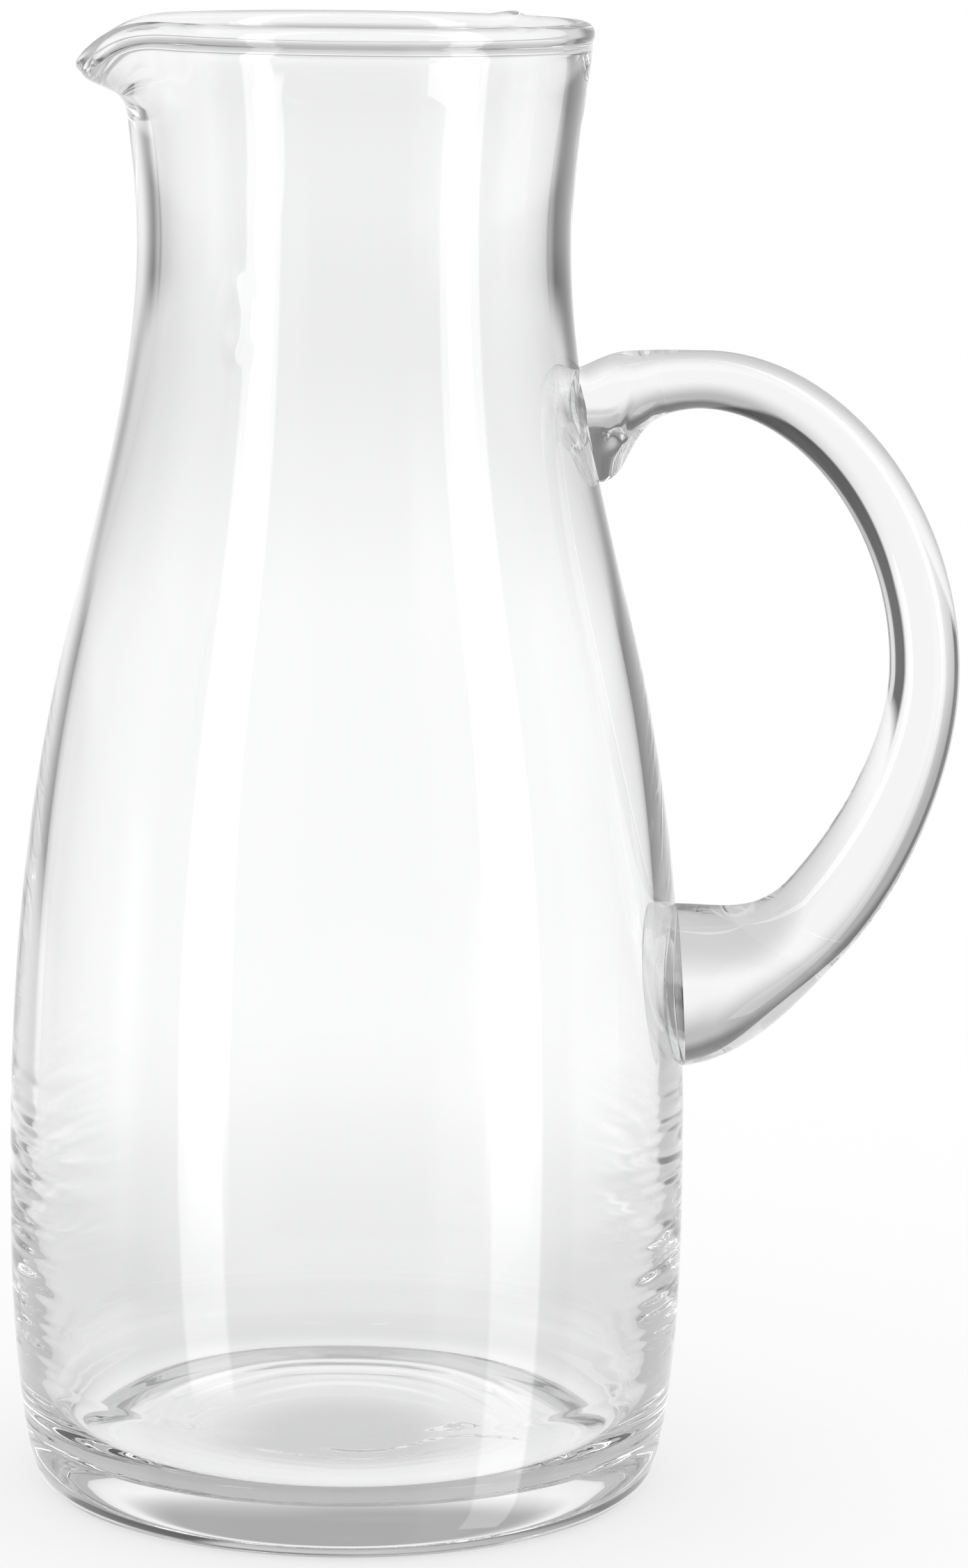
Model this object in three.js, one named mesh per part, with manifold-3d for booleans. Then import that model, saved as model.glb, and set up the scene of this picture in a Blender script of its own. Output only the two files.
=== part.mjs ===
// A hand-made glass pitcher: one blown vessel and one applied rod handle.
// Millimetres, +Z up. The origin is the middle of the flat foot, on the vessel's axis.
// The handle is on +X and the pouring lip on -X.

import * as THREE from 'three';
import { mergeVertices } from 'three/addons/utils/BufferGeometryUtils.js';
import Module from 'manifold-3d';

const wasm = await Module();
wasm.setup();

// Vessel heights, each measured from the level named before it.
const HEEL_HEIGHT = 8;
const BELLY_HEIGHT = 55;
const SHOULDER_ABOVE_BELLY = 95;
const NECK_ABOVE_SHOULDER = 63;
const RIM_ABOVE_NECK = 37;

// Vessel outside radii at those levels, and how steeply the wall leans there.
const FOOT_RADIUS = 50.5;
const HEEL_RADIUS = 55;
const BELLY_RADIUS = 57.8;
const SHOULDER_RADIUS = 47.3;
const NECK_RADIUS = 36.35;
const RIM_RADIUS = 39.8;
const HEEL_LEAN = 0.17;
const SHOULDER_LEAN = -0.255;
const RIM_LEAN = 0.11;

// Glass thickness.
const FLOOR_THICKNESS = 8;
const LOW_WALL = 5;
const BELLY_WALL = 4;
const SHOULDER_WALL = 2.7;
const NECK_WALL = 4.1;
const RIM_BEAD = 4.1;
const RIM_BEAD_WRAP = 36 * Math.PI / 180;
const RIM_BULGE = 0.45;
const RIM_BLEND = 5;

// Inside corner between the floor and the wall.
const FLOOR_RADIUS = 39;
const FLOOR_FILLET = 14;

// Pouring lip: a stretch of rim pulled out and down.
const LIP_DEPTH = 21;
const LIP_REACH = 7.6;
const LIP_DROP = 8;
const LIP_HALF_ANGLE = 42 * Math.PI / 180;
const LIP_REACH_SHARPNESS = 1;
const LIP_DROP_SHARPNESS = 2.2;

// Handle: where it is welded on, how far it stands out and how thick the rod is.
const WELD_GAP = 0.3;
const LOWER_SEAT_HEIGHT = 86;
const UPPER_ABOVE_LOWER = 96.6;
const CREST_ABOVE_UPPER = 8;
const CREST_OUT = 19;
const REACH_ABOVE_LOWER = 55;
const FINGER_DEPTH = 41.8;
const ROD_AT_CREST = 9.8;
const ROD_AT_REACH = 12;
const ROD_AT_FOOT = 15;
const UPPER_SEAT_TALL = 21.4;
const UPPER_SEAT_WIDTH = 17;
const LOWER_SEAT_TALL = 28.4;
const LOWER_SEAT_WIDTH = 26;
const LOWER_PULL_DOWN = 27;
const LOWER_PULL_OUT = 19;
const LOWER_SAG = 1.5;
const UPPER_PULL_IN = 12;
const UPPER_PULL_OUT = 2;
const SEAT_SINK = 7;

// How full the arch is, from 0 for a straight run to 0.55 for a quarter of an ellipse.
const ARCH_FULLNESS = 0.53;

// Where along each end of the rod its flare towards the seat starts and is full, from 0 to 1.
const STUB_FLARE_START = 0.8;
const STUB_FLARE_END = 0.25;
const TAIL_FLARE_START = 0.6;
const TAIL_FLARE_END = 0.92;

// Facets.
const AROUND = 60;
const WALL_STEPS = 14;
const LIP_STEPS = 4;
const BEAD_STEPS = 8;
const CORNER_STEPS = 3;
const ROD_SIDES = 16;
const STUB_STEPS = 7;
const ARCH_STEPS = 11;
const TAIL_STEPS = 14;

// Levels and radii that follow from the sizes above.
const shoulderHeight = BELLY_HEIGHT + SHOULDER_ABOVE_BELLY;
const neckHeight = shoulderHeight + NECK_ABOVE_SHOULDER;
const height = neckHeight + RIM_ABOVE_NECK;
const wallTop = height - RIM_BLEND;
const filletTop = FLOOR_THICKNESS + FLOOR_FILLET;
const upperSeatHeight = LOWER_SEAT_HEIGHT + UPPER_ABOVE_LOWER;

function smooth(t) {
  const s = THREE.MathUtils.clamp(t, 0, 1);
  return s * s * (3 - 2 * s);
}

// A cubic between two stations, each [level, value, slope].
function between([z0, r0, s0], [z1, r1, s1], z) {
  const span = z1 - z0;
  const t = (z - z0) / span;
  const far = smooth(t);
  const near = 1 - far;
  const leave = t * (1 - t) * (1 - t) * span;
  const arrive = t * t * (t - 1) * span;
  return near * r0 + far * r1 + leave * s0 + arrive * s1;
}

// The value at level z on the smooth line through the stations, level beyond both ends.
function throughStations(stations, z) {
  const level = THREE.MathUtils.clamp(z, stations[0][0], stations[stations.length - 1][0]);
  const upper = stations.findIndex((station, i) => i > 0 && level <= station[0]);
  return between(stations[upper - 1], stations[upper], level);
}

const outerStations = [
  [HEEL_HEIGHT, HEEL_RADIUS, HEEL_LEAN],
  [BELLY_HEIGHT, BELLY_RADIUS, 0],
  [shoulderHeight, SHOULDER_RADIUS, SHOULDER_LEAN],
  [neckHeight, NECK_RADIUS, 0],
  [wallTop, RIM_RADIUS - RIM_BULGE, RIM_LEAN],
];

const wallStations = [
  [filletTop, LOW_WALL, 0],
  [BELLY_HEIGHT, BELLY_WALL, 0],
  [shoulderHeight, SHOULDER_WALL, 0],
  [neckHeight, NECK_WALL, 0],
  [wallTop, RIM_BEAD - RIM_BULGE, 0],
];

function outerRadius(z) {
  return throughStations(outerStations, z);
}

function innerRadius(z) {
  return outerRadius(z) - throughStations(wallStations, z);
}

function levels(from, to, steps) {
  return Array.from({ length: steps + 1 }, (_, i) => THREE.MathUtils.lerp(from, to, i / steps));
}

const lipRoot = height - LIP_DEPTH;
const lipLevels = levels(lipRoot, wallTop, LIP_STEPS);
const outerLevels = [...levels(HEEL_HEIGHT, lipRoot, WALL_STEPS).slice(0, -1), ...lipLevels];
const innerLevels = [...levels(filletTop, lipRoot, WALL_STEPS).slice(1, -1), ...lipLevels].reverse();

// Half section of the vessel, from the middle of the foot round the rim to the middle of the floor.
function vesselProfile() {
  const heel = new THREE.QuadraticBezierCurve(
    new THREE.Vector2(FOOT_RADIUS, 0),
    new THREE.Vector2(HEEL_RADIUS - HEEL_HEIGHT * HEEL_LEAN, 0),
    new THREE.Vector2(HEEL_RADIUS, HEEL_HEIGHT),
  );
  const beadRadius = RIM_BEAD / 2;
  const bead = new THREE.EllipseCurve(
    RIM_RADIUS - beadRadius, height - beadRadius,
    beadRadius, beadRadius,
    -RIM_BEAD_WRAP, Math.PI + RIM_BEAD_WRAP,
  );
  const innerFoot = innerRadius(filletTop);
  const fillet = new THREE.QuadraticBezierCurve(
    new THREE.Vector2(innerFoot, filletTop),
    new THREE.Vector2(innerFoot, FLOOR_THICKNESS),
    new THREE.Vector2(FLOOR_RADIUS, FLOOR_THICKNESS),
  );
  return [
    new THREE.Vector2(0, 0),
    ...heel.getPoints(CORNER_STEPS).slice(0, -1),
    ...outerLevels.map((z) => new THREE.Vector2(outerRadius(z), z)),
    ...bead.getPoints(BEAD_STEPS),
    ...innerLevels.map((z) => new THREE.Vector2(innerRadius(z), z)),
    ...fillet.getPoints(CORNER_STEPS),
    new THREE.Vector2(0, FLOOR_THICKNESS),
  ];
}

// Turns a profile about the Z axis, with the first facet edge on +X.
function turned(profile) {
  const geometry = new THREE.LatheGeometry(profile, AROUND, Math.PI / 2);
  geometry.rotateX(Math.PI / 2);
  return geometry;
}

// Pulls the rim out and down on the -X side, most at the top edge.
function pullLip(geometry) {
  const place = geometry.attributes.position;
  const point = new THREE.Vector3();
  for (let i = 0; i < place.count; i += 1) {
    point.fromBufferAttribute(place, i);
    const rise = THREE.MathUtils.clamp((point.z - lipRoot) / LIP_DEPTH, 0, 1);
    const turn = Math.abs(Math.atan2(point.y, -point.x)) / LIP_HALF_ANGLE;
    if (rise > 0 && turn < 1) {
      const wave = (1 + Math.cos(Math.PI * turn)) / 2;
      const out = LIP_REACH * rise * rise * wave ** LIP_REACH_SHARPNESS;
      const down = LIP_DROP * rise * rise * wave ** LIP_DROP_SHARPNESS;
      const grown = 1 + out / Math.hypot(point.x, point.y);
      place.setXYZ(i, point.x * grown, point.y * grown, point.z - down);
    }
  }
  return geometry;
}

function asSolid(geometry) {
  const bare = geometry.clone();
  bare.deleteAttribute('normal');
  bare.deleteAttribute('uv');
  const merged = mergeVertices(bare);
  return new wasm.Manifold(new wasm.Mesh({
    numProp: 3,
    vertProperties: new Float32Array(merged.attributes.position.array),
    triVerts: new Uint32Array(merged.index.array),
  }));
}

function asGeometry(solid) {
  const mesh = solid.getMesh();
  const geometry = new THREE.BufferGeometry();
  geometry.setAttribute('position', new THREE.BufferAttribute(new Float32Array(mesh.vertProperties), 3));
  geometry.setIndex(new THREE.BufferAttribute(new Uint32Array(mesh.triVerts), 1));
  geometry.computeVertexNormals();
  return geometry;
}

// The three stretches of the rod's centre line: upper stub, arch and tail.
function handleCurves() {
  const upright = (x, z) => new THREE.Vector3(x, 0, z);
  const upperWall = outerRadius(upperSeatHeight);
  const crestX = upperWall + CREST_OUT;
  const crestZ = upperSeatHeight + CREST_ABOVE_UPPER;
  const reachZ = LOWER_SEAT_HEIGHT + REACH_ABOVE_LOWER;
  const reachX = outerRadius(reachZ) + FINGER_DEPTH + ROD_AT_REACH / 2;
  const lowerWall = outerRadius(LOWER_SEAT_HEIGHT);
  const crest = upright(crestX, crestZ);
  const reach = upright(reachX, reachZ);
  const stub = new THREE.CubicBezierCurve3(
    upright(upperWall - SEAT_SINK, upperSeatHeight),
    upright(upperWall + UPPER_PULL_OUT, upperSeatHeight),
    upright(crestX - UPPER_PULL_IN, crestZ),
    crest,
  );
  const arch = new THREE.CubicBezierCurve3(
    crest,
    upright(THREE.MathUtils.lerp(crestX, reachX, ARCH_FULLNESS), crestZ),
    upright(reachX, THREE.MathUtils.lerp(reachZ, crestZ, ARCH_FULLNESS)),
    reach,
  );
  const tail = new THREE.CubicBezierCurve3(
    reach,
    upright(reachX, reachZ - LOWER_PULL_DOWN),
    upright(lowerWall + LOWER_PULL_OUT, LOWER_SEAT_HEIGHT - LOWER_SAG),
    upright(lowerWall - SEAT_SINK, LOWER_SEAT_HEIGHT),
  );
  return { stub, arch, tail };
}

// Rings along the rod, each with its half size in the handle's plane and across it.
function handleRings() {
  const { stub, arch, tail } = handleCurves();
  const rings = [];
  const add = (curve, t, inPlane, across) => rings.push({
    centre: curve.getPoint(t), ahead: curve.getTangent(t), inPlane, across,
  });
  for (const t of levels(0, 1, STUB_STEPS).slice(0, -1)) {
    const flare = 1 - smooth((t - STUB_FLARE_END) / (STUB_FLARE_START - STUB_FLARE_END));
    const rod = ROD_AT_CREST / 2;
    add(
      stub, t,
      THREE.MathUtils.lerp(rod, UPPER_SEAT_TALL / 2, flare),
      THREE.MathUtils.lerp(rod, UPPER_SEAT_WIDTH / 2, flare),
    );
  }
  for (const t of levels(0, 1, ARCH_STEPS).slice(0, -1)) {
    const rod = THREE.MathUtils.lerp(ROD_AT_CREST, ROD_AT_REACH, t) / 2;
    add(arch, t, rod, rod);
  }
  for (const t of levels(0, 1, TAIL_STEPS)) {
    const rod = THREE.MathUtils.lerp(ROD_AT_REACH, ROD_AT_FOOT, Math.min(t / TAIL_FLARE_START, 1)) / 2;
    const flare = smooth((t - TAIL_FLARE_START) / (TAIL_FLARE_END - TAIL_FLARE_START));
    add(
      tail, t,
      THREE.MathUtils.lerp(rod, LOWER_SEAT_TALL / 2, flare),
      THREE.MathUtils.lerp(rod, LOWER_SEAT_WIDTH / 2, flare),
    );
  }
  return rings;
}

// A closed tube over the rings, capped at both ends.
function rodGeometry(rings) {
  const positions = [];
  const indices = [];
  for (const { centre, ahead, inPlane, across } of rings) {
    for (let side = 0; side < ROD_SIDES; side += 1) {
      const angle = 2 * Math.PI * side / ROD_SIDES;
      const up = inPlane * Math.cos(angle);
      positions.push(centre.x - ahead.z * up, across * Math.sin(angle), centre.z + ahead.x * up);
    }
  }
  const firstCentre = positions.length / 3;
  const lastCentre = firstCentre + 1;
  const firstRing = rings[0].centre;
  const lastRing = rings[rings.length - 1].centre;
  positions.push(firstRing.x, firstRing.y, firstRing.z, lastRing.x, lastRing.y, lastRing.z);
  const lastStart = (rings.length - 1) * ROD_SIDES;
  for (let side = 0; side < ROD_SIDES; side += 1) {
    const next = (side + 1) % ROD_SIDES;
    for (let ring = 0; ring < rings.length - 1; ring += 1) {
      const a = ring * ROD_SIDES + side;
      const b = ring * ROD_SIDES + next;
      const c = a + ROD_SIDES;
      const d = b + ROD_SIDES;
      indices.push(a, c, b, b, c, d);
    }
    indices.push(firstCentre, side, next);
    indices.push(lastCentre, lastStart + next, lastStart + side);
  }
  const geometry = new THREE.BufferGeometry();
  geometry.setAttribute('position', new THREE.Float32BufferAttribute(positions, 3));
  geometry.setIndex(indices);
  return geometry;
}

// The vessel's outside with no hollow, grown by the weld gap, which the handle's ends are cut to.
function weldEnvelope() {
  const wall = outerLevels.map((z) => new THREE.Vector2(outerRadius(z) + WELD_GAP, z));
  return turned([new THREE.Vector2(0, HEEL_HEIGHT), ...wall, new THREE.Vector2(0, wallTop)]);
}

function glass() {
  return new THREE.MeshStandardMaterial({
    color: 0xeef2f1, roughness: 0.04, metalness: 0, transparent: true, opacity: 0.35,
  });
}

function makeVessel() {
  const vessel = new THREE.Mesh(pullLip(turned(vesselProfile())), glass());
  vessel.name = 'vessel';
  return vessel;
}

function makeHandle() {
  const rod = asSolid(rodGeometry(handleRings()));
  const handle = new THREE.Mesh(asGeometry(rod.subtract(asSolid(weldEnvelope()))), glass());
  handle.name = 'handle';
  return handle;
}

const pitcher = new THREE.Group();
pitcher.add(makeVessel(), makeHandle());

export default pitcher;
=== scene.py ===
"""Looks of a hand-made glass pitcher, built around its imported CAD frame.

Sizes are millimetres until a mesh is made, and metres in Blender. +Z is up, the handle is on +X,
the pouring lip on -X, and the main camera looks along +Y.
"""

import math

import bpy
import numpy as np
from mathutils import Matrix, Vector, noise


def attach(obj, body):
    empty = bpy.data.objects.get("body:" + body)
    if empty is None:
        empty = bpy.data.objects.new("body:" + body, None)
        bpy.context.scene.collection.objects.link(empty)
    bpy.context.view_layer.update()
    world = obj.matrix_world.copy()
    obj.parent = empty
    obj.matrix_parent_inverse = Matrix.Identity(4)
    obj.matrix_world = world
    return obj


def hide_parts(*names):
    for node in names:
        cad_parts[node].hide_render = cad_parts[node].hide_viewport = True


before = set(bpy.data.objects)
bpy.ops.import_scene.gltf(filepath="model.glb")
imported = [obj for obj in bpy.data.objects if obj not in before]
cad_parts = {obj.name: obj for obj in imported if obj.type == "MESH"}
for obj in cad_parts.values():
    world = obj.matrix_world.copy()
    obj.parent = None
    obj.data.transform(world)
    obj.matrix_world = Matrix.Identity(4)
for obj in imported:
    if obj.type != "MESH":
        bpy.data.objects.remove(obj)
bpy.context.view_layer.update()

MM = 0.001

# Vessel levels, outside radii and how the wall leans there.
HEEL_HEIGHT = 8
BELLY_HEIGHT = 55
SHOULDER_HEIGHT = 150
NECK_HEIGHT = 213
RIM_HEIGHT = 250
FOOT_RADIUS = 50.5
HEEL_RADIUS = 55
BELLY_RADIUS = 57.8
SHOULDER_RADIUS = 47.3
NECK_RADIUS = 36.35
RIM_RADIUS = 39.8
HEEL_LEAN = 0.17
SHOULDER_LEAN = -0.255
RIM_LEAN = 0.11

# Glass thickness, rim bead and the inside corner of the floor.
FLOOR_THICKNESS = 8
LOW_WALL = 5
BELLY_WALL = 4
SHOULDER_WALL = 2.7
NECK_WALL = 4.1
RIM_BEAD = 4.1
RIM_BEAD_WRAP = math.radians(36)
RIM_BULGE = 0.45
RIM_BLEND = 5
FLOOR_RADIUS = 39
FLOOR_FILLET = 14

# Pouring lip.
LIP_DEPTH = 15.5
LIP_RISE = 14
LIP_REACH = 6.8
LIP_DROP = 6.15
LIP_HALF_ANGLE = math.radians(42)
LIP_DROP_SHARPNESS = 2.2

# Handle: a round rod, drawn as its outer and inner edges in the plane of the lip and the handle.
LOWER_SEAT_HEIGHT = 86
UPPER_SEAT_HEIGHT = 182.6
CREST_ABOVE_UPPER = 8
CREST_OUT = 19
REACH_ABOVE_LOWER = 55
FINGER_DEPTH = 41.8
ROD_AT_CREST = 9.8
ROD_AT_REACH = 12
ROD_AT_FOOT = 15
ARCH_FULLNESS = 0.53

# Upper end, at distances from the axis: its top edge, the lower edge of its round end, and the
# lower edge of the thin web that was pressed down on the wall below it, as (distance, height, slope).
STUB_START = 33
STUB_TOP = ((33, 190.2, 0.45), (38.1, 192.4, 0.42), (43.7, 194.8, 0.3), (49, 195.4, 0.06))
STUB_ROUND = ((33, 180.4, 0), (46.5, 180.8, 0.15), (50.5, 183.3, 0.6), (54, 185.0, 0.25))
STUB_WEB = (
    (33, 172.2, 0), (41.5, 172.9, 0.15), (44.5, 174.4, 1.0),
    (47.5, 179.7, 1.7), (49.2, 182.2, 1.1), (53, 184.7, 0.33),
)
STUB_WIDTH = ((33, 15.5, 0), (44, 14.5, -0.3), (52, 10.6, -0.2))
WEB_EDGE = 1.4
WEB_SPREAD = 0.56
NOTCH = (43, 181.6)
NOTCH_SIZE = (1.1, 1.7)
NOTCH_DEPTH = 0.1

# Lower end: control points of its edges, (distance, height), from the reach to inside the wall.
TAIL_OUTER_BEND = ((103.3, 124.5), (95.5, 104.6), (84.8, 92.6))
TAIL_INNER_BEND = ((90.9, 130), (84.5, 116.5), (75.5, 105.8))
TAIL_OUTER_FOOT = ((74.6, 81.2), (64.5, 69.4), (49, 73.5))
TAIL_INNER_FOOT = ((68.3, 97.2), (61.5, 102), (49, 100.2))
LOWER_SEAT_WIDTH = 26
TAIL_FLARE_END = 0.85

# How far the handle's ends reach into the vessel's wall, so that the glass reads as one melt.
WELD_DEPTH = 0.15

# Traces of hand work on the vessel: ripples outside, cords low on the inner wall, a disc, rings and
# a fold on the floor, a hollow under the base, a lump on the rim and a mark on the neck.
RIPPLE_DEPTH = 0.05
RIPPLE_SPAN = (26, 26, 44)
CORD_TOP = (48, 82)
CORD_FOOT = (20, 27)
CORD_LEAN = 5
CORD_LEAN_TURN = 0.6
CORD_SIDES = (0.72, 0.97)
CORDS = ((0.16, 30, 9), (0.21, 18, 3.6), (0.1, 12, 1.6))
DISC_RADIUS = 22
DISC_RISE = 0.22
DISC_EDGE = 2.2
DISC_ROUGHNESS = 1.3
DISC_SPAN = (16, 16, 16)
FLOOR_WAVE = 0.05
FLOOR_WAVE_STEP = 4.6
FLOOR_WAVE_START = 6
FLOOR_RELIEF_INSET = 5
FLOOR_RELIEF_FADE = 4
FOLD_RISE = 0.32
FOLD_EDGE = 1.4
FOLD_LINE = (
    (-6, -12, 0), (3, -15, 0), (9, -12, 1.0), (14.8, -2.4, 1.2),
    (20.2, 1.2, 0), (26.2, -1.6, -0.9), (33, -12, -2),
)
FOLD_FADE = 7
UNDER_RADIUS = 48
UNDER_SLOPE = 9
UNDER_RISE = 0.35
UNDER_WAVE = 0.08
UNDER_SPAN = (17, 17, 17)
LUMP_ANGLE = math.radians(46)
LUMP_RISE = 0.65
LUMP_SLOPES = (3.2, 6.5)
SEED_MARK = (-19, 203)
SEED_MARK_SIZE = (1.7, 5.6)
SEED_MARK_DEPTH = 0.13
SEED_MARK_RING = 0.8
SEED_MARK_EDGE = 0.4
SEED_MARK_ROUGHNESS = 0.35
SEED_MARK_SPAN = (2, 2, 3)

# Mesh fineness, and the radii where the rows under the base and on the floor stop short of the axis.
AROUND = 300
OUTSIDE_ROWS = 200
INSIDE_ROWS = 400
INSIDE_CROWDING = 0.6
FLOOR_ROWS = 90
UNDER_ROWS = 60
HEEL_ROWS = 14
BEAD_ROWS = 30
FILLET_ROWS = 40
UNDER_MIDDLE = 1.5
FLOOR_MIDDLE = 1.0
ROD_SIDES = 120
ROD_ROWS = 300
STUB_STEPS = 240
ARCH_STEPS = 320
TAIL_STEPS = (200, 240)
CAP_ROWS = 10

wall_top = RIM_HEIGHT - RIM_BLEND
fillet_top = FLOOR_THICKNESS + FLOOR_FILLET


# Small tools

def smooth(t):
    s = np.clip(t, 0, 1)
    return s * s * (3 - 2 * s)


def mix(a, b, t):
    return a + (b - a) * t


def through(stations, level):
    """The smooth line through stations of (level, value, slope), level beyond both ends."""
    levels, values, slopes = np.array(stations, float).T
    z = np.clip(level, levels[0], levels[-1])
    i = np.clip(np.searchsorted(levels, z), 1, len(levels) - 1)
    span = levels[i] - levels[i - 1]
    t = (z - levels[i - 1]) / span
    leave = t * (1 - t) ** 2 * span
    arrive = t * t * (t - 1) * span
    return mix(values[i - 1], values[i], smooth(t)) + leave * slopes[i - 1] + arrive * slopes[i]


def curve(points, t):
    """Points of a Bezier curve with 3 or 4 control points, at the steps t."""
    rows = [np.array(p, float) for p in points]
    t = np.asarray(t, float)[:, None]
    while len(rows) > 1:
        rows = [a * (1 - t) + b * t for a, b in zip(rows, rows[1:])]
    return rows[0]


def steps(count, ends=(True, True)):
    """Even steps from 0 to 1, with or without the ends."""
    t = np.linspace(0, 1, count + 1)
    return t[0 if ends[0] else 1:len(t) if ends[1] else -1]


def make_object(name, points, faces, material):
    mesh = bpy.data.meshes.new(name)
    mesh.from_pydata([tuple(p) for p in points * MM], [], faces)
    mesh.validate()
    mesh.shade_smooth()
    mesh.materials.append(material)
    made = bpy.data.objects.new(name, mesh)
    bpy.context.scene.collection.objects.link(made)
    return made


def ring_faces(rows, around):
    """Quads between rows of points that each close on themselves."""
    faces = []
    for row in range(rows - 1):
        for side in range(around):
            a = row * around + side
            b = row * around + (side + 1) % around
            faces.append((a, b, b + around, a + around))
    return faces


# Vessel

outer_stations = [
    (HEEL_HEIGHT, HEEL_RADIUS, HEEL_LEAN),
    (BELLY_HEIGHT, BELLY_RADIUS, 0),
    (SHOULDER_HEIGHT, SHOULDER_RADIUS, SHOULDER_LEAN),
    (NECK_HEIGHT, NECK_RADIUS, 0),
    (wall_top, RIM_RADIUS - RIM_BULGE, RIM_LEAN),
]
wall_stations = [
    (fillet_top, LOW_WALL, 0),
    (BELLY_HEIGHT, BELLY_WALL, 0),
    (SHOULDER_HEIGHT, SHOULDER_WALL, 0),
    (NECK_HEIGHT, NECK_WALL, 0),
    (wall_top, RIM_BEAD - RIM_BULGE, 0),
]


def outer_radius(z):
    return through(outer_stations, z)


def inner_radius(z):
    return outer_radius(z) - through(wall_stations, z)


def vessel_section():
    """Half section from the foot round the rim to the floor: each stretch's (radius, height) rows."""
    under = np.column_stack([
        mix(UNDER_MIDDLE, FOOT_RADIUS, steps(UNDER_ROWS)),
        np.zeros(UNDER_ROWS + 1),
    ])
    heel = curve(
        [(FOOT_RADIUS, 0), (HEEL_RADIUS - HEEL_HEIGHT * HEEL_LEAN, 0), (HEEL_RADIUS, HEEL_HEIGHT)],
        steps(HEEL_ROWS, (False, False)),
    )
    z = mix(HEEL_HEIGHT, wall_top, steps(OUTSIDE_ROWS))
    outside = np.column_stack([outer_radius(z), z])
    half = RIM_BEAD / 2
    angle = mix(-RIM_BEAD_WRAP, math.pi + RIM_BEAD_WRAP, steps(BEAD_ROWS))
    bead = np.column_stack([
        RIM_RADIUS - half + half * np.cos(angle),
        RIM_HEIGHT - half + half * np.sin(angle),
    ])
    z = mix(wall_top, fillet_top, steps(INSIDE_ROWS, (True, False)) ** INSIDE_CROWDING)
    inside = np.column_stack([inner_radius(z), z])
    foot = float(inner_radius(fillet_top))
    fillet = curve(
        [(foot, fillet_top), (foot, FLOOR_THICKNESS), (FLOOR_RADIUS, FLOOR_THICKNESS)],
        steps(FILLET_ROWS),
    )
    floor = np.column_stack([
        mix(FLOOR_RADIUS, FLOOR_MIDDLE, steps(FLOOR_ROWS, (False, True))),
        np.full(FLOOR_ROWS, FLOOR_THICKNESS),
    ])
    stretches = {"under": under, "heel": heel, "outside": outside, "bead": bead}
    stretches.update({"inside": inside, "fillet": fillet, "floor": floor})
    return stretches


def unevenness(points, span):
    """Smooth noise from -1 to 1, with hills about as wide as span."""
    return np.array([noise.noise(Vector(p)) for p in points / np.array(span, float)])


def ripples(points):
    """Faint ripples outside, and one ring-shaped mark on the front of the neck."""
    x, y, z = points.T
    mark_x, mark_z = SEED_MARK
    across, tall = SEED_MARK_SIZE
    ring = np.hypot((x - mark_x) / across, (z - mark_z) / tall)
    ring = ring + SEED_MARK_ROUGHNESS * unevenness(points, SEED_MARK_SPAN)
    mark = np.where(y < 0, np.exp(-((ring - SEED_MARK_RING) / SEED_MARK_EDGE) ** 2), 0)
    return RIPPLE_DEPTH * unevenness(points, RIPPLE_SPAN) + SEED_MARK_DEPTH * mark


def cords(points):
    """Irregular, nearly level rings in the low wall, left as the glass was turned."""
    x, y, z = points.T
    turn = np.arctan2(y, x)
    level = z + CORD_LEAN * np.sin(turn + CORD_LEAN_TURN)
    place = np.column_stack([x, y, level])
    depth = sum(size * unevenness(place, (wide, wide, tall)) for size, wide, tall in CORDS)
    zone = smooth((z - CORD_FOOT[0]) / (CORD_FOOT[1] - CORD_FOOT[0]))
    zone = zone * smooth((np.abs(np.cos(turn)) - CORD_SIDES[0]) / (CORD_SIDES[1] - CORD_SIDES[0]))
    return depth * zone * (1 - smooth((z - CORD_TOP[0]) / (CORD_TOP[1] - CORD_TOP[0])))


def floor_relief(points):
    """A flat middle disc, faint rings round it and one curved fold on the handle's side."""
    x, y = points.T[:2]
    away = np.hypot(x, y) + DISC_ROUGHNESS * unevenness(points, DISC_SPAN)
    disc = 1 - smooth((away - DISC_RADIUS + DISC_EDGE) / (2 * DISC_EDGE))
    waves = np.sin(2 * math.pi * away / FLOOR_WAVE_STEP) * smooth((away - DISC_RADIUS) / FLOOR_WAVE_START)
    before = smooth((through(FOLD_LINE, x) - y) / (2 * FOLD_EDGE) + 0.5)
    along = smooth((x - FOLD_LINE[0][0]) / FOLD_FADE) * smooth((FOLD_LINE[-1][0] - x) / FOLD_FADE)
    fade = 1 - smooth((np.hypot(x, y) - FLOOR_RADIUS + FLOOR_RELIEF_INSET) / FLOOR_RELIEF_FADE)
    return fade * (DISC_RISE * disc + FLOOR_WAVE * waves - FOLD_RISE * before * along)


def under_relief(points):
    """A shallow, uneven hollow under the base, inside the ring that it stands on."""
    away = np.hypot(points[:, 0], points[:, 1])
    inside = smooth((UNDER_RADIUS - away) / UNDER_SLOPE)
    return -inside * (UNDER_RISE + UNDER_WAVE * (1 + unevenness(points, UNDER_SPAN)))


def rim_lump(points):
    """One low lump on the far side of the rim, steep towards the handle."""
    x, y, z = points.T
    along = (np.arctan2(y, x) - LUMP_ANGLE) * RIM_RADIUS
    steep, gentle = LUMP_SLOPES
    lump = np.where(along < 0, 1 - smooth(-along / steep), 1 - smooth(along / gentle))
    return LUMP_RISE * lump * smooth((z - wall_top) / RIM_BLEND)


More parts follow.
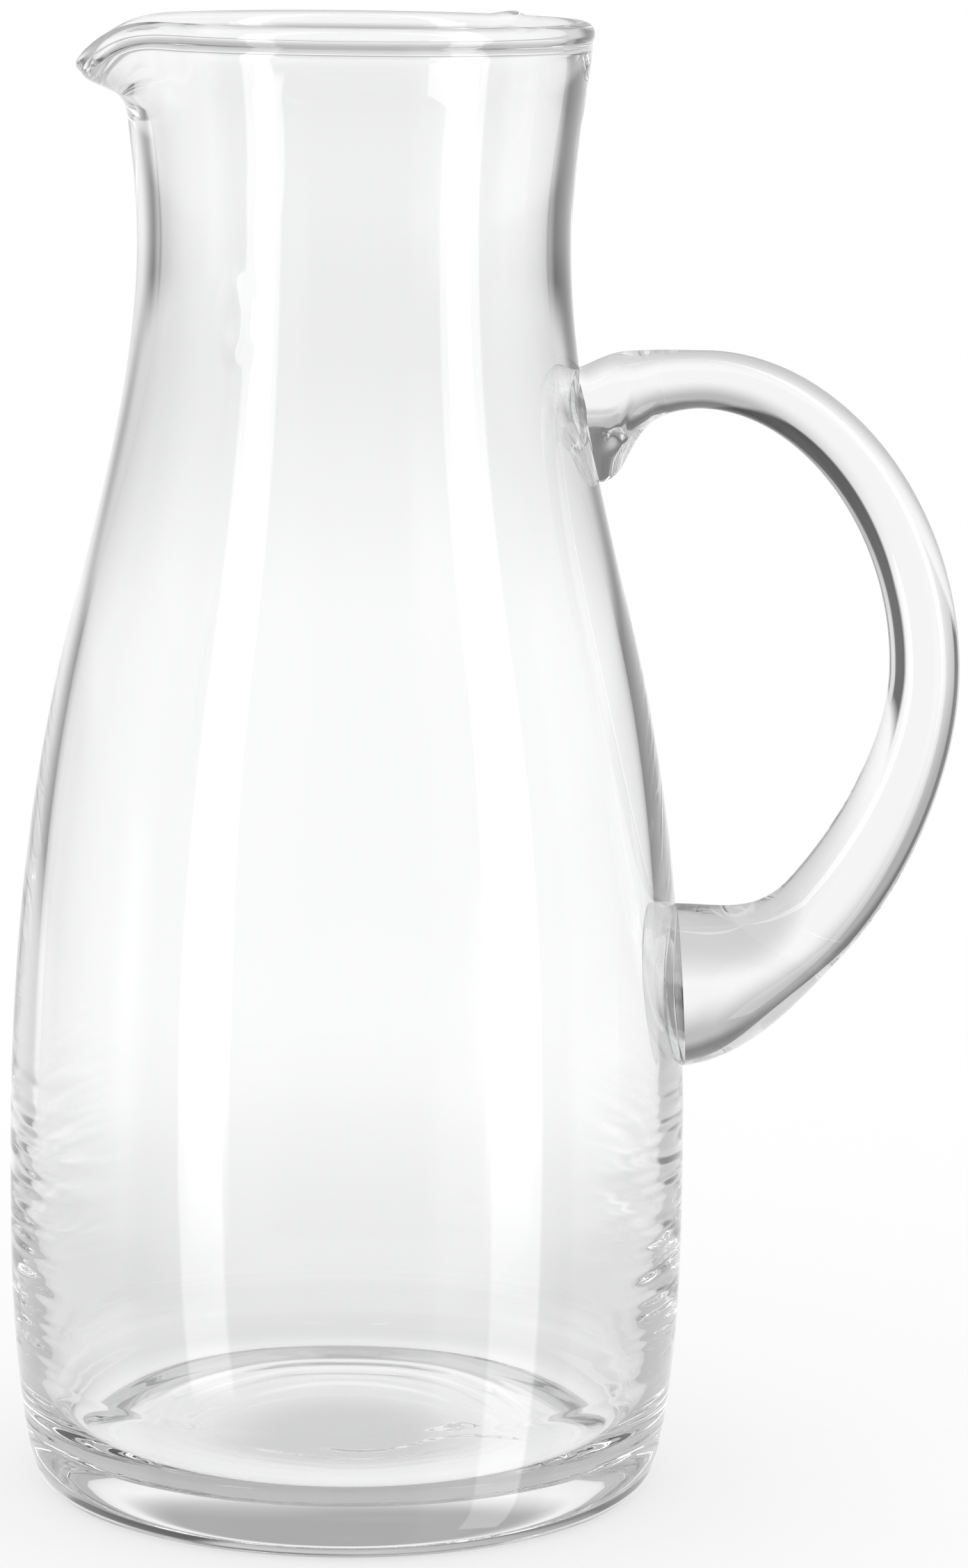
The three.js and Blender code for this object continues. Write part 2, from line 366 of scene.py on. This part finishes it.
def pull_lip(points):
    """Pulls the rim out and down on the -X side, the bead with the wall below it."""
    x, y, z = points.T
    rise = smooth((z - RIM_HEIGHT + LIP_DEPTH) / LIP_RISE)
    turn = np.minimum(np.abs(np.arctan2(y, -x)) / LIP_HALF_ANGLE, 1)
    wave = (1 + np.cos(math.pi * turn)) / 2
    grown = 1 + LIP_REACH * rise * wave / np.hypot(x, y)
    drop = LIP_DROP * rise * wave ** LIP_DROP_SHARPNESS
    return np.column_stack([x * grown, y * grown, z - drop])


def make_vessel(material):
    stretches = vessel_section()
    section = np.vstack(list(stretches.values()))
    kinds = np.repeat(list(stretches), [len(rows) * AROUND for rows in stretches.values()])
    along = np.gradient(section, axis=0)
    along /= np.linalg.norm(along, axis=1)[:, None]
    angle = 2 * math.pi * np.arange(AROUND) / AROUND
    turn = np.column_stack([np.cos(angle), np.sin(angle)])
    points = np.array([(r * c, r * s, z) for r, z in section for c, s in turn])
    outward = np.array([(dz * c, dz * s, -dr) for dr, dz in along for c, s in turn])
    reliefs = {"under": under_relief, "outside": ripples, "inside": cords, "floor": floor_relief}
    for kind, relief in reliefs.items():
        chosen = kinds == kind
        points[chosen] += outward[chosen] * relief(points[chosen])[:, None]
    points[:, 2] += rim_lump(points)
    points = pull_lip(points)
    rows = len(section)
    faces = ring_faces(rows, AROUND)
    first, last = len(points), len(points) + 1
    top = (rows - 1) * AROUND
    middle = points[top:].mean(axis=0)
    points = np.vstack([points, points[:AROUND].mean(axis=0), middle])
    for side in range(AROUND):
        after = (side + 1) % AROUND
        faces.append((first, after, side))
        faces.append((last, top + side, top + after))
    return make_object("vessel_glass_body", points, faces, material)


# Handle

def stub_rows(crest):
    """Upper end, from inside the wall to the crest: edges, half width and the round end's lower edge."""
    x = mix(STUB_START, crest[0], steps(STUB_STEPS, (True, False)))
    rod = ROD_AT_CREST / 2
    top = through(STUB_TOP + ((crest[0], crest[1] + rod, 0),), x)
    rounded = through(STUB_ROUND + ((crest[0], crest[1] - rod, 0),), x)
    web = through(STUB_WEB + ((crest[0], crest[1] - rod, 0),), x)
    width = through(STUB_WIDTH + ((crest[0], ROD_AT_CREST, 0),), x)
    return np.column_stack([x, top]), np.column_stack([x, web]), width / 2, np.maximum(rounded, web)


def arch_rows(crest, reach):
    bend = [
        crest,
        (mix(crest[0], reach[0], ARCH_FULLNESS), crest[1]),
        (reach[0], mix(reach[1], crest[1], ARCH_FULLNESS)),
        reach,
    ]
    t = steps(ARCH_STEPS, (True, False))
    centre = curve(bend, t)
    ahead = np.gradient(centre, axis=0)
    ahead /= np.linalg.norm(ahead, axis=1)[:, None]
    rod = mix(ROD_AT_CREST, ROD_AT_REACH, t) / 2
    out = np.column_stack([-ahead[:, 1], ahead[:, 0]]) * rod[:, None]
    return centre + out, centre - out, rod


def tail_rows(reach):
    rod = ROD_AT_REACH / 2
    bend, foot = steps(TAIL_STEPS[0], (True, False)), steps(TAIL_STEPS[1])
    outer = curve([(reach[0] + rod, reach[1]), *TAIL_OUTER_BEND], bend)
    outer = np.vstack([outer, curve([TAIL_OUTER_BEND[-1], *TAIL_OUTER_FOOT], foot)])
    inner = curve([(reach[0] - rod, reach[1]), *TAIL_INNER_BEND], bend)
    inner = np.vstack([inner, curve([TAIL_INNER_BEND[-1], *TAIL_INNER_FOOT], foot)])
    slim = mix(ROD_AT_REACH, ROD_AT_FOOT, bend) / 2
    wide = mix(ROD_AT_FOOT, LOWER_SEAT_WIDTH, smooth(foot / TAIL_FLARE_END)) / 2
    return outer, inner, np.concatenate([slim, wide])


def handle_sections():
    """Rows of points round the whole rod, from inside the wall to inside the wall."""
    upper_wall = float(outer_radius(UPPER_SEAT_HEIGHT))
    crest = (upper_wall + CREST_OUT, UPPER_SEAT_HEIGHT + CREST_ABOVE_UPPER)
    reach_z = LOWER_SEAT_HEIGHT + REACH_ABOVE_LOWER
    reach = (float(outer_radius(reach_z)) + FINGER_DEPTH + ROD_AT_REACH / 2, reach_z)
    stub_outer, stub_inner, stub_half, rounded = stub_rows(crest)
    arch_outer, arch_inner, arch_half = arch_rows(crest, reach)
    tail_outer, tail_inner, tail_half = tail_rows(reach)
    angle = 2 * math.pi * np.arange(ROD_SIDES) / ROD_SIDES
    up, side = np.cos(angle), np.sin(angle)
    outer = np.vstack([stub_outer, arch_outer, tail_outer])[:, None]
    inner = np.vstack([stub_inner, arch_inner, tail_inner])[:, None]
    half = np.concatenate([stub_half, arch_half, tail_half])[:, None]
    in_plane = mix(inner, outer, ((1 + up) / 2)[None, :, None])
    across = half * side
    count = len(stub_outer)
    across[:count] = stub_across(in_plane[:count], stub_outer, stub_inner, rounded, stub_half, side)
    return np.stack([in_plane[..., 0], across, in_plane[..., 1]], axis=-1)


def stub_across(in_plane, top, web, rounded, half, side):
    """Half widths of the upper end: its round end above, the thin web below, a small notch between."""
    x, z = in_plane[..., 0], in_plane[..., 1]
    tall = (top[:, 1] - rounded)[:, None] / 2
    ball = (z - rounded[:, None]) / tall - 1
    round_width = half[:, None] * np.sqrt(np.clip(1 - ball ** 2, 0, 1))
    rise = np.maximum(z - web[:, 1:], 0)
    reach = np.clip(rise / (WEB_EDGE / 2), 0, 1)
    web_width = WEB_EDGE / 2 * np.sqrt(reach * (2 - reach)) + WEB_SPREAD * rise
    below = z < (top[:, 1:] + rounded[:, None]) / 2
    width = np.where(below, np.maximum(round_width, np.minimum(web_width, half[:, None])), round_width)
    dent = np.exp(-((x - NOTCH[0]) / NOTCH_SIZE[0]) ** 2 - ((z - NOTCH[1]) / NOTCH_SIZE[1]) ** 2)
    return width * (1 - NOTCH_DEPTH * dent) * np.sign(np.round(side, 9))


def beyond_wall(points):
    """How far points lie outside the surface that the handle's ends are cut to."""
    x, y, z = np.moveaxis(points, -1, 0)
    return np.hypot(x, y) - (outer_radius(z) - WELD_DEPTH)


def handle_rows():
    """Rows of points round the rod, each lengthwise line cut where it meets the wall."""
    points = handle_sections()
    place = np.arange(len(points), dtype=float)
    rows = np.empty((ROD_ROWS, ROD_SIDES, 3))
    share = steps(ROD_ROWS - 1)
    for side in range(ROD_SIDES):
        line = points[:, side]
        outside = np.nonzero(beyond_wall(line) > 0)[0]
        ends = []
        for inner, outer in ((outside[0] - 1, outside[0]), (outside[-1] + 1, outside[-1])):
            gap = beyond_wall(line[[inner, outer]])
            ends.append(mix(inner, outer, -gap[0] / (gap[1] - gap[0])))
        where = mix(ends[0], ends[1], share)
        rows[:, side] = np.column_stack([np.interp(where, place, line[:, k]) for k in range(3)])
    return rows


def wall_cap(edge):
    """Rows of points that close an end over the wall, from its edge towards the middle."""
    middle = edge.mean(axis=0)
    rows = []
    for t in steps(CAP_ROWS, (False, False)):
        row = mix(edge, middle, t)
        row[:, 0] = np.sqrt((outer_radius(row[:, 2]) - WELD_DEPTH) ** 2 - row[:, 1] ** 2)
        rows.append(row)
    centre = middle.copy()
    centre[0] = math.sqrt((float(outer_radius(centre[2])) - WELD_DEPTH) ** 2 - centre[1] ** 2)
    return rows, centre


def make_handle(material):
    rows = list(handle_rows())
    first_cap, first_centre = wall_cap(rows[0])
    last_cap, last_centre = wall_cap(rows[-1])
    rows = first_cap[::-1] + rows + last_cap
    points = np.vstack(rows)
    faces = [face[::-1] for face in ring_faces(len(rows), ROD_SIDES)]
    first, last = len(points), len(points) + 1
    points = np.vstack([points, first_centre, last_centre])
    top = (len(rows) - 1) * ROD_SIDES
    for side in range(ROD_SIDES):
        after = (side + 1) % ROD_SIDES
        faces.append((first, side, after))
        faces.append((last, top + after, top + side))
    return make_object("handle_glass_rod", points, faces, material)


# Materials

class Graph:
    """A node tree with short calls for the nodes of a formula."""

    def __init__(self, tree):
        self.tree = tree
        tree.nodes.clear()

    def node(self, kind, **inputs):
        made = self.tree.nodes.new(kind)
        for name, value in inputs.items():
            self.put(made.inputs[name.replace("_", " ")], value)
        return made

    def put(self, socket, value):
        if isinstance(value, bpy.types.NodeSocket):
            self.tree.links.new(value, socket)
        else:
            socket.default_value = value

    def math(self, operation, *values):
        made = self.tree.nodes.new("ShaderNodeMath")
        made.operation = operation
        for socket, value in zip(made.inputs, values):
            self.put(socket, value)
        return made.outputs[0]

    def blend(self, share, first, second):
        """first where share is 0, second where it is 1."""
        made = self.tree.nodes.new("ShaderNodeMix")
        made.data_type = "FLOAT"
        for socket, value in zip(made.inputs, (share, None, first, second)):
            if value is not None:
                self.put(socket, value)
        return made.outputs[0]

    def ramp(self, value, low, high, start=0.0, end=1.0, kind="SMOOTHSTEP"):
        """start below low, end above high, and a smooth step between them."""
        made = self.tree.nodes.new("ShaderNodeMapRange")
        made.interpolation_type = kind
        for socket, number in zip(made.inputs, (value, low, high, start, end)):
            self.put(socket, number)
        return made.outputs[0]

    def slope(self, value, low, high, start, end):
        """start below low, end above high, and a straight line between them."""
        return self.ramp(value, low, high, start, end, "LINEAR")


# Glass: its colour, how strongly it bends light, faint haze and fire-polish waves, as noise per metre.
GLASS_COLOUR = (0.997, 1.0, 0.999, 1.0)
GLASS_IOR = 1.5
HAZE_SCALE = 60.0
HAZE_ROUGHNESS = (0.45, 0.7, 0.0, 0.012)
WAVE_SCALE = 90.0
WAVE_DEPTH = 0.004


def clear_glass(name):
    material = bpy.data.materials.new(name)
    material.use_nodes = True
    graph = Graph(material.node_tree)
    place = graph.node("ShaderNodeTexCoord").outputs["Object"]
    haze = graph.node("ShaderNodeTexNoise", Vector=place, Scale=HAZE_SCALE, Detail=2.0)
    roughness = graph.ramp(haze.outputs[0], *HAZE_ROUGHNESS)
    waves = graph.node("ShaderNodeTexNoise", Vector=place, Scale=WAVE_SCALE, Detail=0.0)
    bump = graph.node("ShaderNodeBump", Strength=1.0, Distance=WAVE_DEPTH * MM, Height=waves.outputs[0])
    shader = graph.node(
        "ShaderNodeBsdfPrincipled", Base_Color=GLASS_COLOUR, Roughness=roughness, IOR=GLASS_IOR,
    )
    graph.put(shader.inputs["Normal"], bump.outputs[0])
    shader.inputs["Transmission Weight"].default_value = 1.0
    out = graph.node("ShaderNodeOutputMaterial")
    graph.put(out.inputs["Surface"], shader.outputs[0])
    return material


# Stage

# How many surfaces a ray has crossed past the rod or one wall, and past the base or more. Counts
# are compared to within half a step.
ROD_SURFACES = 2.0
BASE_SURFACES = 2.5
HALF_STEP = 0.5

# Studio, in degrees. Azimuth 0 is straight ahead of the main camera and grows to the right.
# A lit panel stands behind the glass for each side that it is looked at from.
PANELS = (0, -90, 135)
PANEL_FOOT = (-19, -14, 1.0, 0.0)
PANEL_WIDTH = (40, 44)
PANEL_WIDTH_MIRRORED = (8, 20)
LOW_FALL = (-62, -20, 0.68, 1.0)

# Each range below is (from, to, level before it, level after it).
# Light past the hollow vessel fades to the panel's sides and upwards.
HOLLOW_SIDES = (8, 34)
HOLLOW_SURROUND = (-11, -6, 0.93, 0.76)
HOLLOW_FALL = (-9, 8, 1.03, 0.54)

# Light past the solid rod of the handle.
ROD_RIGHT = (25, 31, 1.0, 0.12)
ROD_RIGHT_LEAN = (-2, 12, 0.0, 12.6)
ROD_FAR_RIGHT = (46, 53, 0.0, 0.7)
ROD_LEFT = (-46, -40, 0.3, 1.0)
ROD_LEFT_FADE = (-34, -12, 0.8, 1.0)
ROD_FALL = (-6, 18, 0.965, 0.51)
ROD_HIGH = (21, 36, 1.0, 0.35)
ROD_FALL_LEAN = (-40, -4, 18, 0.0)

# Light that was turned once inside a wall.
WALL_LEFT = (-38, -14, 0.12, 1.0)
WALL_RIGHT = (-8, 4, 1.0, 0.02)
WALL_FAR_RIGHT = (33, 42, 0.0, 0.3)
WALL_FAR_LEFT = (-44, -37, 0.3, 0.0)
WALL_LOW = (-11.8, -9.0, 1.0, 0.0)
WALL_LOWEST = (-17.5, -14.5, 0.15, 1.0)
WALL_LOW_SHARES = (0.58, 0.3)
WALL_HIGH = (-2.5, 2.5)
WALL_HIGH_SIDES = (17, 34, 0.2, 0.74)

# Light that was turned once inside the thick base, and light trapped for many turns.
BASE_START = (12.5, 14.5)
BASE_MIDDLE = 16
BASE_SPAN = (1, 7, 0.42, 0.95)
TRAPPED_IN_BASE = 0.68
TRAPPED_IN_BASE_TURNS = (2.5, 6.5)
TRAPPED_IN_WALL_TURNS = (1.4, 1.6)
TRAPPED_RIGHT = (34, 44, 0.85, 0.3)
TRAPPED_LEVEL_RAYS = (5, 11, 1.0, 0.55)
TRAPPED_LEVEL = -11
TRAPPED_LONG_TURNS = (7, 9)
TRAPPED_LONG_RIGHT = (16, 30, 1.0, 0.1)
TRAPPED_BACK = (50, 80, 1.0, 0.15)

# Softboxes in front of the glass: azimuths, lowest elevation and how the left one bends at its foot.
SOFTBOXES = ((-139, -123, -22, 0.4), (110, 129, -45, 0.0))
SOFTBOX_BEND_START = -12.8
SOFTBOX_EDGE = 1
SOFTBOX_LEVEL = 3.0
SOFTBOX_SURFACES = 2.5

# Light that went on through the vessel after the handle, or through the rim twice.
STRAY_SURFACES = 4.5
STRAY_LEVEL = 0.62

# The dim room behind the camera, and the azimuths over which it starts.
ROOM_LEVEL = 0.3
ROOM_START = (92, 100)

# Floor, in metres: its size, how far it lies below the foot, and the painted light and shade by distance
# from the middle that rays through the glass see on it.
FLOOR_SIZE = 0.5
FLOOR_BELOW_FOOT = 0.0001
FLOOR_SIDES = 96
FLOOR_COLOUR = 0.35
FLOOR_GLOW = 0.65
# Painted light and shade on the floor, for rays through the glass only: darker under the middle of the
# base, lighter out to the foot, darker past it and lighter again far out.
FLOOR_PAINTED_SHADE_MIDDLE = (0.012, 0.03, 0.62, 0.9)
FLOOR_PAINTED_LIGHT_NEAR = (0.045, 0.06, 1.0, 0.62)
FLOOR_PAINTED_LIGHT_FAR = (0.12, 0.44, 0.0, 0.18)
# Painted shade on the floor, also only for rays through the glass: a painted lit strip toward each panel
# and darker off its direction from a start distance on, darker nearby for rays past the rod, and darker
# after turns inside the glass.
FLOOR_OFF_PANEL_SHADE_START = (0.06, 0.12)
FLOOR_PAINTED_SHADE_OFF_PANEL = (8, 30, 1.0, 0.84)
FLOOR_PAINTED_SHADE_PAST_ROD = (0.15, 0.47, 0.76, 0.95)
FLOOR_PAINTED_SHADE_TURNED = 0.7
FLOOR_FADE = (0.15, 0.49)


def panel_offset(graph, azimuth):
    """Angle from the middle of the nearest panel, positive to its right."""
    nearest = azimuth
    for centre in PANELS:
        turned = graph.math("WRAP", graph.math("SUBTRACT", azimuth, float(centre)), 180.0, -180.0)
        closer = graph.math("LESS_THAN", graph.math("ABSOLUTE", turned), graph.math("ABSOLUTE", nearest))
        nearest = graph.blend(closer, nearest, turned)
    return nearest


def past_vessel(graph, offset, elevation):
    surround = graph.ramp(elevation, *HOLLOW_SURROUND)
    level = graph.ramp(graph.math("ABSOLUTE", offset), *HOLLOW_SIDES, 1.0, surround)
    return graph.math("MULTIPLY", level, graph.ramp(elevation, *HOLLOW_FALL))


def past_rod(graph, offset, elevation):
    leaned = graph.math("ADD", offset, graph.slope(elevation, *ROD_RIGHT_LEAN))
    level = graph.math("MULTIPLY", graph.ramp(offset, *ROD_LEFT), graph.ramp(offset, *ROD_LEFT_FADE))
    level = graph.math("MULTIPLY", level, graph.ramp(leaned, *ROD_RIGHT))
    level = graph.math("ADD", level, graph.ramp(offset, *ROD_FAR_RIGHT))
    raised = graph.math("ADD", elevation, graph.slope(offset, *ROD_FALL_LEAN))
    level = graph.math("MULTIPLY", level, graph.ramp(raised, *ROD_FALL))
    return graph.math("MULTIPLY", level, graph.ramp(raised, *ROD_HIGH))


def turned_once(graph, offset, elevation):
    """Light that ran along inside a wall, or came up out of the base."""
    low = graph.math("MULTIPLY", graph.ramp(elevation, *WALL_LOW), graph.ramp(elevation, *WALL_LOWEST))
    sides = []
    for edge, share in zip((WALL_LEFT, WALL_RIGHT), WALL_LOW_SHARES):
        sides.append(graph.blend(graph.math("MULTIPLY", low, share), graph.ramp(offset, *edge), 1.0))
    far = graph.math("ADD", graph.ramp(offset, *WALL_FAR_RIGHT), graph.ramp(offset, *WALL_FAR_LEFT))
    wall = graph.math("ADD", graph.math("MULTIPLY", *sides), far)
    high = graph.ramp(graph.math("ABSOLUTE", offset), *WALL_HIGH_SIDES)
    wall = graph.blend(graph.ramp(elevation, *WALL_HIGH), wall, high)
    from_middle = graph.math("ABSOLUTE", graph.math("SUBTRACT", elevation, float(BASE_MIDDLE)))
    return graph.blend(graph.ramp(elevation, *BASE_START), wall, graph.ramp(from_middle, *BASE_SPAN))


def studio_light(graph, path, offset, elevation):
    """The panels' light by the way that it took through the glass."""
    through_rod = graph.math("COMPARE", path.outputs["Transmission Depth"], ROD_SURFACES, HALF_STEP)
    once = graph.math("COMPARE", path.outputs["Glossy Depth"], 1.0, HALF_STEP)
    hollow = past_vessel(graph, offset, elevation)
    past = graph.blend(through_rod, hollow, past_rod(graph, offset, elevation))
    past = graph.math("MAXIMUM", past, graph.ramp(elevation, *PANEL_FOOT))
    past = graph.math("MULTIPLY", past, graph.ramp(elevation, *LOW_FALL))
    turned = turned_once(graph, offset, elevation)
    level = graph.blend(graph.math("MULTIPLY", through_rod, once), past, turned)
    turns = path.outputs["Glossy Depth"]
    back = graph.ramp(graph.math("ABSOLUTE", offset), *TRAPPED_BACK)
    in_wall = graph.math("MULTIPLY", graph.ramp(offset, *TRAPPED_RIGHT), back)
    from_level = graph.math("ABSOLUTE", graph.math("SUBTRACT", elevation, float(TRAPPED_LEVEL)))
    in_wall = graph.math("MULTIPLY", in_wall, graph.ramp(from_level, *TRAPPED_LEVEL_RAYS))
    long_share = graph.ramp(turns, *TRAPPED_LONG_TURNS, 1.0, graph.ramp(offset, *TRAPPED_LONG_RIGHT))
    in_wall = graph.math("MULTIPLY", in_wall, long_share)
    wall_share = graph.math("MULTIPLY", through_rod, graph.ramp(turns, *TRAPPED_IN_WALL_TURNS))
    level = graph.blend(wall_share, level, in_wall)
    through_base = graph.math("GREATER_THAN", path.outputs["Transmission Depth"], BASE_SURFACES)
    base_share = graph.math("MULTIPLY", through_base, graph.ramp(turns, *TRAPPED_IN_BASE_TURNS))
    return graph.blend(base_share, level, TRAPPED_IN_BASE)


def make_floor():
    mesh = bpy.data.meshes.new("floor")
    turns = 2 * math.pi * np.arange(FLOOR_SIDES) / FLOOR_SIDES
    rim = [(FLOOR_SIZE * math.cos(a), FLOOR_SIZE * math.sin(a), -FLOOR_BELOW_FOOT) for a in turns]
    mesh.from_pydata(rim, [], [tuple(range(FLOOR_SIDES))])
    made = bpy.data.objects.new("floor", mesh)
    bpy.context.scene.collection.objects.link(made)
    made.visible_glossy = False
    material = bpy.data.materials.new("pale_floor")
    material.use_nodes = True
    graph = Graph(material.node_tree)
    place = graph.node("ShaderNodeNewGeometry").outputs["Position"]
    away = graph.tree.nodes.new("ShaderNodeVectorMath")
    away.operation = "LENGTH"
    graph.put(away.inputs[0], place)
    away = away.outputs["Value"]
    path = graph.node("ShaderNodeLightPath")
    # Painted shade for rays through the glass: darker away from each panel's direction, past the rod, and
    # after turns inside the glass.
    through_rod = graph.math("COMPARE", path.outputs["Transmission Depth"], ROD_SURFACES, HALF_STEP)
    parts = graph.node("ShaderNodeSeparateXYZ", Vector=place)
    azimuth = graph.math("DEGREES", graph.math("ARCTAN2", parts.outputs["X"], parts.outputs["Y"]))
    offset = graph.math("ABSOLUTE", panel_offset(graph, azimuth))
    sides = graph.ramp(offset, *FLOOR_PAINTED_SHADE_OFF_PANEL)
    sides = graph.blend(graph.ramp(away, *FLOOR_OFF_PANEL_SHADE_START), 1.0, sides)
    turned = graph.math("GREATER_THAN", path.outputs["Glossy Depth"], HALF_STEP)
    rod = graph.math("MULTIPLY", graph.ramp(away, *FLOOR_PAINTED_SHADE_PAST_ROD), graph.blend(turned, 1.0, FLOOR_PAINTED_SHADE_TURNED))
    share = graph.blend(through_rod, sides, rod)
    # Painted light and shade by distance for rays through the glass, in place of the floor's pale glow:
    # darker under the middle, lighter under the foot, darker past it, lighter far out.
    near = graph.math("MULTIPLY", graph.ramp(away, *FLOOR_PAINTED_SHADE_MIDDLE), graph.ramp(away, *FLOOR_PAINTED_LIGHT_NEAR))
    painted_light_and_shade = graph.math("ADD", near, graph.ramp(away, *FLOOR_PAINTED_LIGHT_FAR))
    painted_floor_light_and_shade = graph.math("MULTIPLY", painted_light_and_shade, share)
    by_glass = path.outputs["Is Transmission Ray"]
    level = graph.blend(by_glass, FLOOR_GLOW, painted_floor_light_and_shade)
    # For rays through the glass the floor's diffuse colour is dimmed by the same painted shade.
    colour = graph.blend(by_glass, FLOOR_COLOUR, graph.math("MULTIPLY", share, FLOOR_COLOUR))
    diffuse = graph.node("ShaderNodeBsdfDiffuse", Color=colour)
    light = graph.node("ShaderNodeEmission", Color=(1, 1, 1, 1), Strength=level)
    both = graph.tree.nodes.new("ShaderNodeAddShader")
    graph.put(both.inputs[0], diffuse.outputs[0])
    graph.put(both.inputs[1], light.outputs[0])
    clear = graph.node("ShaderNodeBsdfTransparent")
    blend = graph.tree.nodes.new("ShaderNodeMixShader")
    graph.put(blend.inputs[0], graph.ramp(away, *FLOOR_FADE))
    graph.put(blend.inputs[1], both.outputs[0])
    graph.put(blend.inputs[2], clear.outputs[0])
    out = graph.node("ShaderNodeOutputMaterial")
    graph.put(out.inputs["Surface"], blend.outputs[0])
    mesh.materials.append(material)


def softboxes(graph, azimuth, elevation):
    """Two upright softboxes in front of the glass, one on each side of the camera."""
    below = graph.math("MAXIMUM", graph.math("SUBTRACT", SOFTBOX_BEND_START, elevation), 0.0)
    lit = 0.0
    for near, far, foot, bend in SOFTBOXES:
        bent = graph.math("MULTIPLY_ADD", below, bend, azimuth)
        opened = graph.ramp(bent, near - SOFTBOX_EDGE, near + SOFTBOX_EDGE)
        closed = graph.ramp(bent, far - SOFTBOX_EDGE, far + SOFTBOX_EDGE, 1.0, 0.0)
        above = graph.ramp(elevation, foot - SOFTBOX_EDGE, foot + SOFTBOX_EDGE)
        box = graph.math("MULTIPLY", graph.math("MULTIPLY", opened, closed), above)
        lit = graph.math("ADD", lit, box)
    return lit


def make_world():
    world = bpy.data.worlds.new("studio")
    bpy.context.scene.world = world
    world.use_nodes = True
    graph = Graph(world.node_tree)
    direction = graph.node("ShaderNodeTexCoord").outputs["Generated"]
    parts = graph.node("ShaderNodeSeparateXYZ", Vector=direction)
    azimuth = graph.math("DEGREES", graph.math("ARCTAN2", parts.outputs["X"], parts.outputs["Y"]))
    elevation = graph.math("DEGREES", graph.math("ARCSINE", parts.outputs["Z"]))
    path = graph.node("ShaderNodeLightPath")
    offset = panel_offset(graph, azimuth)
    panels = studio_light(graph, path, offset, elevation)
    mirrored = graph.math("GREATER_THAN", path.outputs["Glossy Depth"], HALF_STEP)
    aside = graph.math("ABSOLUTE", offset)
    widths = [graph.ramp(aside, *edge) for edge in (PANEL_WIDTH, PANEL_WIDTH_MIRRORED)]
    off_panel = graph.blend(mirrored, *widths)
    room = graph.math("MULTIPLY", graph.ramp(graph.math("ABSOLUTE", azimuth), *ROOM_START), off_panel)
    around = graph.blend(room, panels, ROOM_LEVEL)
    front = graph.math("LESS_THAN", path.outputs["Transmission Depth"], SOFTBOX_SURFACES)
    lit = graph.math("MULTIPLY", softboxes(graph, azimuth, elevation), front)
    around = graph.blend(lit, around, SOFTBOX_LEVEL)
    stray = graph.math("GREATER_THAN", path.outputs["Transmission Depth"], STRAY_SURFACES)
    around = graph.blend(stray, around, STRAY_LEVEL)
    by_glass = graph.math("MAXIMUM", path.outputs["Is Glossy Ray"], path.outputs["Is Transmission Ray"])
    level = graph.blend(by_glass, 1.0, around)
    shader = graph.node("ShaderNodeBackground", Color=(1, 1, 1, 1), Strength=level)
    out = graph.node("ShaderNodeOutputWorld")
    graph.put(out.inputs["Surface"], shader.outputs[0])


# Camera, fitted to the photograph's perspective, and how often light may bounce

CAMERA_PLACE = (22.8, -953, 287.8)
CAMERA_PITCH = math.radians(9.922)
CAMERA_ROLL = math.radians(0.7)
CAMERA_LENS = 130.5
CAMERA_SENSOR = 36
CAMERA_NEAR = 0.01
LIGHT_BOUNCES = 96


def make_camera():
    data = bpy.data.cameras.new("camera")
    data.lens = CAMERA_LENS
    data.sensor_width = CAMERA_SENSOR
    data.clip_start = CAMERA_NEAR
    made = bpy.data.objects.new("camera", data)
    bpy.context.scene.collection.objects.link(made)
    turn = Matrix.Rotation(math.pi / 2 - CAMERA_PITCH, 4, "X") @ Matrix.Rotation(CAMERA_ROLL, 4, "Z")
    made.matrix_world = Matrix.Translation(Vector(CAMERA_PLACE) * MM) @ turn
    bpy.context.scene.camera = made


def set_render():
    scene = bpy.context.scene
    scene.view_settings.view_transform = "Standard"
    scene.cycles.max_bounces = LIGHT_BOUNCES
    scene.cycles.transmission_bounces = LIGHT_BOUNCES
    scene.cycles.glossy_bounces = LIGHT_BOUNCES


vessel = make_vessel(clear_glass("vessel_clear_glass"))
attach(vessel, "root")
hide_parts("vessel")
handle = make_handle(clear_glass("handle_clear_glass"))
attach(handle, "root")
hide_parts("handle")
make_floor()
make_world()
make_camera()
set_render()
